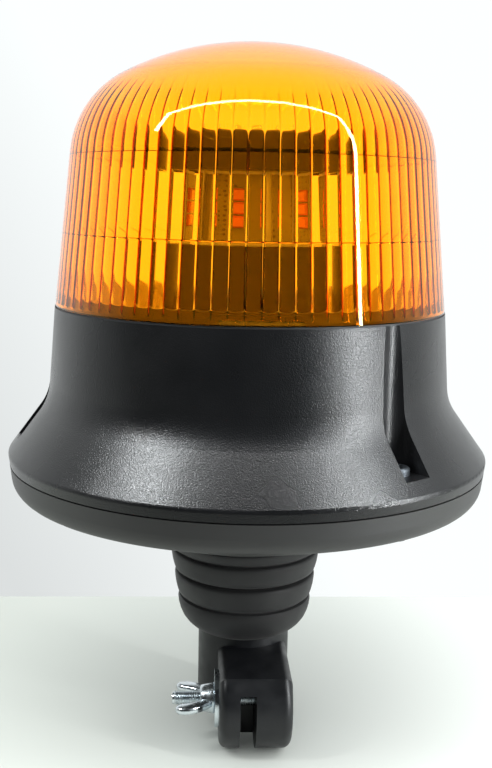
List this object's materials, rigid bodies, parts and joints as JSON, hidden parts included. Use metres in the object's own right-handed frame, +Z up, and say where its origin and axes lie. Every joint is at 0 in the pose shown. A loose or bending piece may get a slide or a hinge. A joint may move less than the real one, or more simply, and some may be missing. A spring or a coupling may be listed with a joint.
{
  "type": "warning beacon",
  "caption": "Amber LED warning beacon: fluted dome lens on a flared black housing, with a flexible ribbed rubber neck and a split pole socket clamped by a wing nut.",
  "frame": {"origin": "centre of the pole socket's mouth, on the pole axis", "axes": "+Z up the pole towards the lens, -Y towards the clamp lug"},
  "size_m": [0.1682, 0.1682, 0.2383],
  "materials": {
    "black_nylon": "satin glass-filled nylon",
    "black_housing": "spark-eroded ABS",
    "black_rubber": "matt",
    "seal_rubber": "matt",
    "amber_polycarbonate": "clear tinted, polished outside and fluted inside",
    "zinc_steel": "bright zinc plate",
    "spring_steel": "drawn wire",
    "brass": "turned",
    "white_acetal": "moulded",
    "white_film": "punched reflector film",
    "aluminium": "extruded",
    "circuit_board": "solder mask over glass fibre",
    "led_emitter": "silicone over the chip",
    "tinned_wire": "insulated",
    "capacitor_can": "sleeved can",
    "ferrite": "sintered",
    "epoxy_package": "moulded",
    "terminal_green": "moulded",
    "red_insulation": "PVC",
    "black_insulation": "PVC"
  },
  "bodies": {
    "socket": {"pole_socket": "black_nylon", "clamp_bolt": "zinc_steel", "contact_carrier": "white_acetal", "contact_spring": "spring_steel", "terminal_cap": "brass", "earth_contact": "brass"},
    "contact": {"centre_contact": "brass"},
    "washer": {"clamp_washer": "zinc_steel"},
    "nut": {"wing_nut": "zinc_steel"},
    "neck": {"flex_neck": "black_rubber"},
    "head": {"base_dish": "black_housing", "neck_retaining_ring": "zinc_steel", "ring_screws": "zinc_steel", "housing_seal": "seal_rubber", "upper_housing": "black_housing", "housing_screws": "zinc_steel", "lens_gasket": "seal_rubber", "deck_reflector": "white_film", "pedestal": "black_housing", "pedestal_screws": "zinc_steel", "heat_sink": "aluminium", "led_board_1": "circuit_board", "led_board_2": "circuit_board", "led_board_3": "circuit_board", "led_board_4": "circuit_board", "led_board_5": "circuit_board", "led_board_6": "circuit_board", "led_row_1": "led_emitter", "led_row_2": "led_emitter", "led_row_3": "led_emitter", "led_row_4": "led_emitter", "led_row_5": "led_emitter", "led_row_6": "led_emitter", "link_board": "circuit_board", "led_leads": "tinned_wire", "tower_cap": "black_housing", "tower_screw": "zinc_steel", "driver_board": "circuit_board", "board_screws": "zinc_steel", "filter_capacitor": "capacitor_can", "storage_inductor": "ferrite", "driver_transistors": "epoxy_package", "terminal_block": "terminal_green", "positive_wire": "red_insulation", "earth_wire": "black_insulation"},
    "lens": {"lens": "amber_polycarbonate"}
  },
  "joints": [
    {"name": "neck_tilt_fore_aft", "type": "hinge", "parent": "socket", "child": "neck", "pos_m": [0, 0, 0.033], "axis": [1, 0, 0], "range_deg": [-20, 20], "stiffness_Nm_per_rad": 12, "deforming": ["flex_neck", "positive_wire", "earth_wire"]},
    {"name": "neck_tilt_sideways", "type": "hinge", "parent": "neck", "child": "head", "pos_m": [0, 0, 0.05], "axis": [0, 1, 0], "range_deg": [-20, 20], "stiffness_Nm_per_rad": 12, "deforming": ["flex_neck", "positive_wire", "earth_wire"]},
    {"name": "lens_twist", "type": "hinge", "parent": "head", "child": "lens", "pos_m": [0, 0, 0.1421], "axis": [0, 0, 1], "range_deg": [0, 25]},
    {"name": "centre_contact_slide", "type": "slide", "parent": "socket", "child": "contact", "axis": [0, 0, 1], "range_m": [0, 0.002], "stiffness_N_per_m": 300, "springref_m": -0.004, "deforming": ["contact_spring"]},
    {"name": "washer_slide", "type": "slide", "parent": "socket", "child": "washer", "axis": [-1, 0, 0], "range_m": [0, 0.0048]},
    {"name": "wing_nut_turn", "type": "hinge", "parent": "washer", "child": "nut", "pos_m": [0, -0.03, 0.0085], "axis": [-1, 0, 0], "range_deg": [0, 2160]}
  ],
  "couplings": [
    {"joint": "wing_nut_turn", "follows": "washer_slide", "rad_per_m": 7854}
  ]
}
